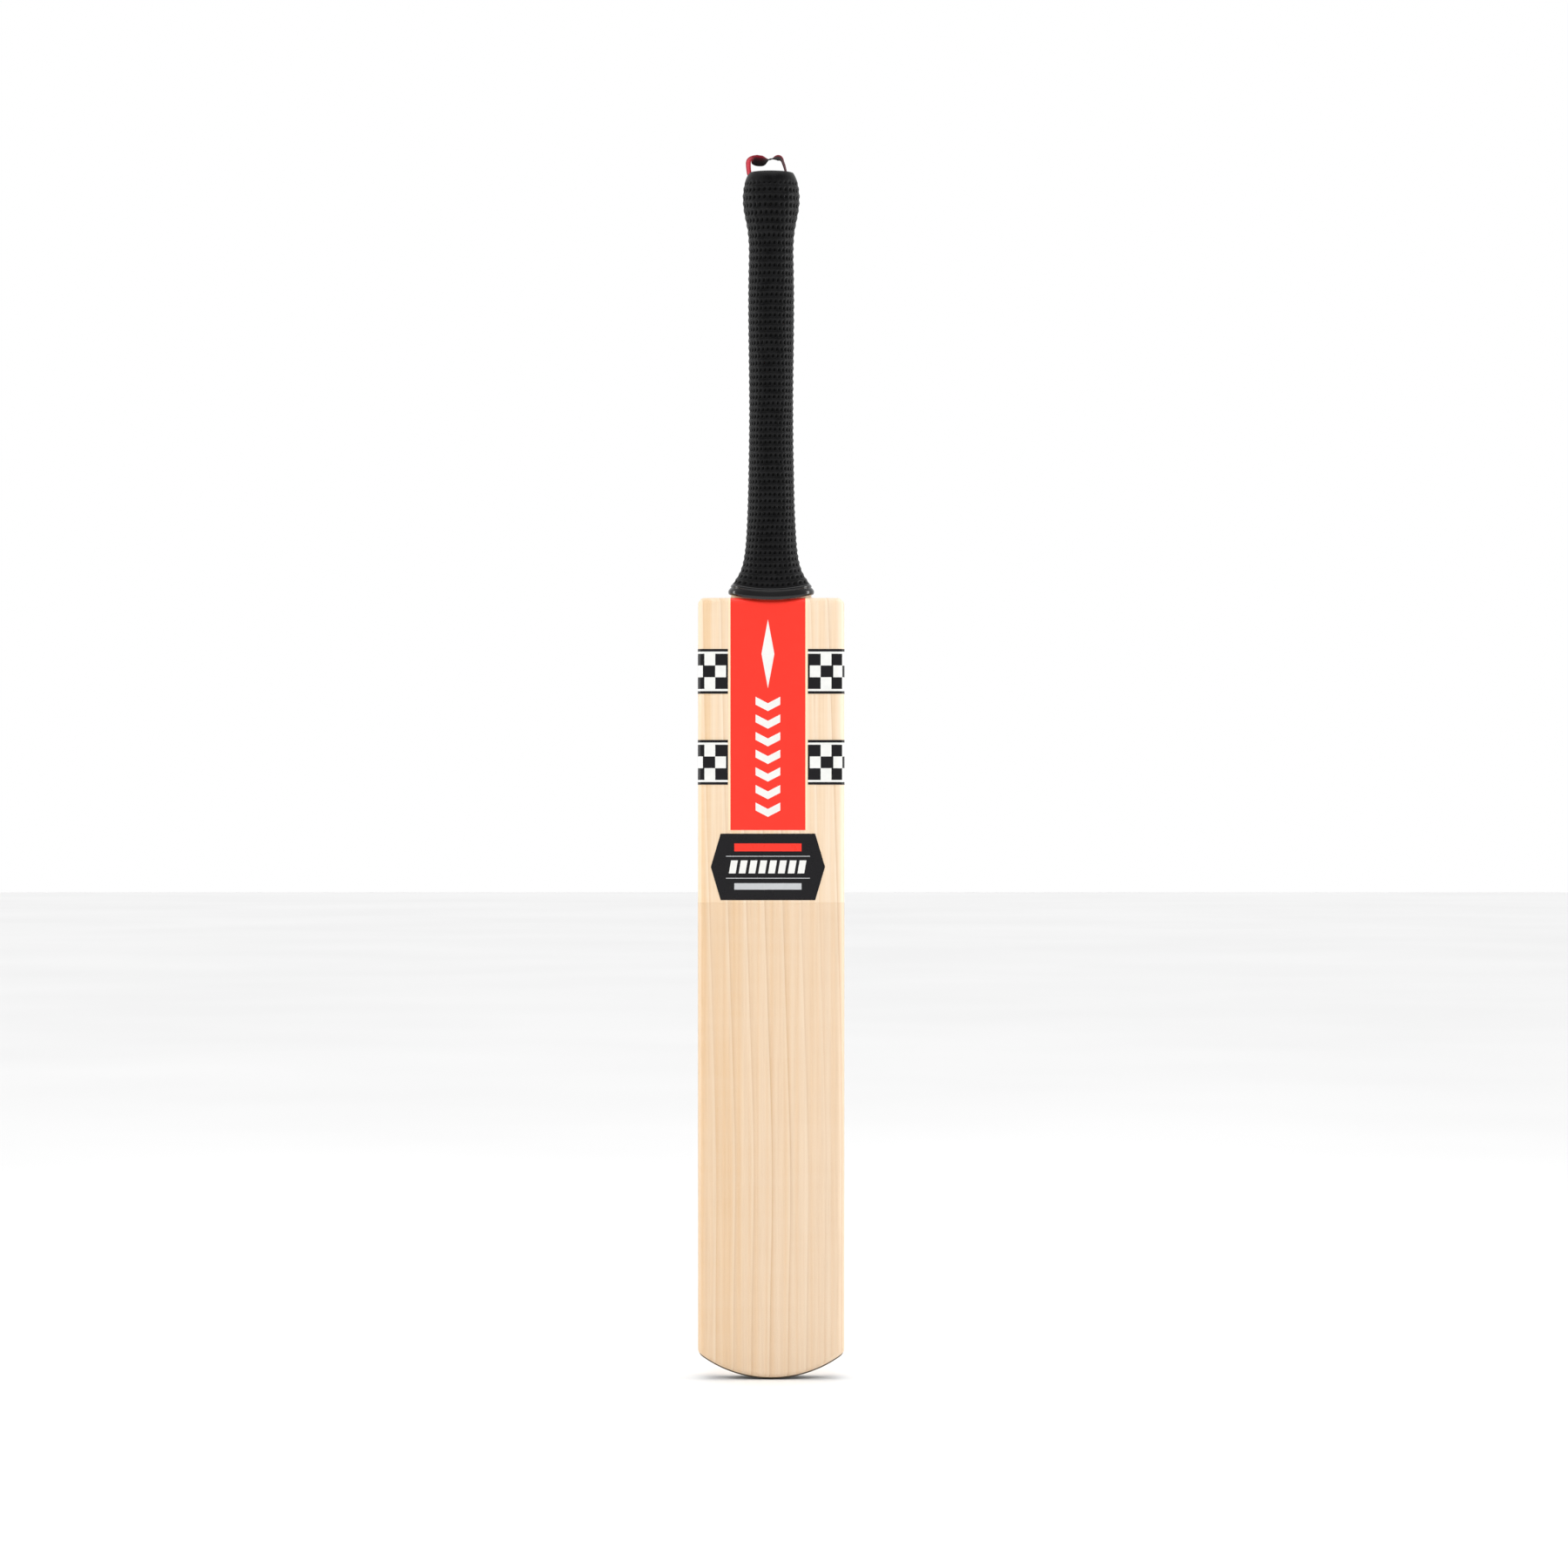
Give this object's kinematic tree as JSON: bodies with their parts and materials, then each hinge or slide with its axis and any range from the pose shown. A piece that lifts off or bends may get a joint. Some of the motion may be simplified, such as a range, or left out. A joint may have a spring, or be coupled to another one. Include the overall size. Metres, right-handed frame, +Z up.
{
  "type": "cricket bat",
  "caption": "Full-size short-handle cricket bat: flat-faced willow blade with a ridged back, spliced cane handle, dimpled black rubber grip, ribbon hanging loop and plain printed stickers.",
  "frame": {"origin": "middle of the grip, on the handle's centre line", "axes": "+Z up along the handle, -Y out of the flat hitting face, +X to the right seen from in front of the face"},
  "size_m": [0.105, 0.0684, 0.8756],
  "materials": {
    "willow": "pale oiled willow, straight vertical grain, satin",
    "cane": "laminated cane, fibrous, satin",
    "spring_rubber": "thin sheet rubber, matt",
    "twine": "waxed linen thread, close wound",
    "grip_rubber": "black moulded rubber with rings of dimples, satin",
    "collar_gloss": "smooth black gloss",
    "ribbon": "narrow woven ribbon, maroon and black with a red edge, satin sheen",
    "clear_film": "clear anti-scuff film, gloss",
    "red_label": "printed vinyl sticker, red with plain white shapes and a pale border",
    "badge_print": "printed vinyl sticker, black with red, white and grey bars",
    "check_print": "printed vinyl sticker, black and white chequers",
    "toe_rubber": "thin brown-black rubber, matt"
  },
  "bodies": {
    "root": {"blade": "willow", "toe_guard": "toe_rubber", "cane_front_left": "cane", "cane_front_middle": "cane", "cane_front_right": "cane", "cane_inner_front_left": "cane", "cane_inner_front_middle": "cane", "cane_inner_front_right": "cane", "cane_inner_back_left": "cane", "cane_inner_back_middle": "cane", "cane_inner_back_right": "cane", "cane_back_left": "cane", "cane_back_middle": "cane", "cane_back_right": "cane", "rubber_spring_front": "spring_rubber", "rubber_spring_middle": "spring_rubber", "rubber_spring_back": "spring_rubber", "twine_binding": "twine", "grip": "grip_rubber", "grip_collar": "collar_gloss", "hang_loop": "ribbon", "face_film": "clear_film", "front_label": "red_label", "band_upper_left": "check_print", "band_upper_right": "check_print", "band_lower_left": "check_print", "band_lower_right": "check_print", "badge": "badge_print"}
  },
  "joints": []
}
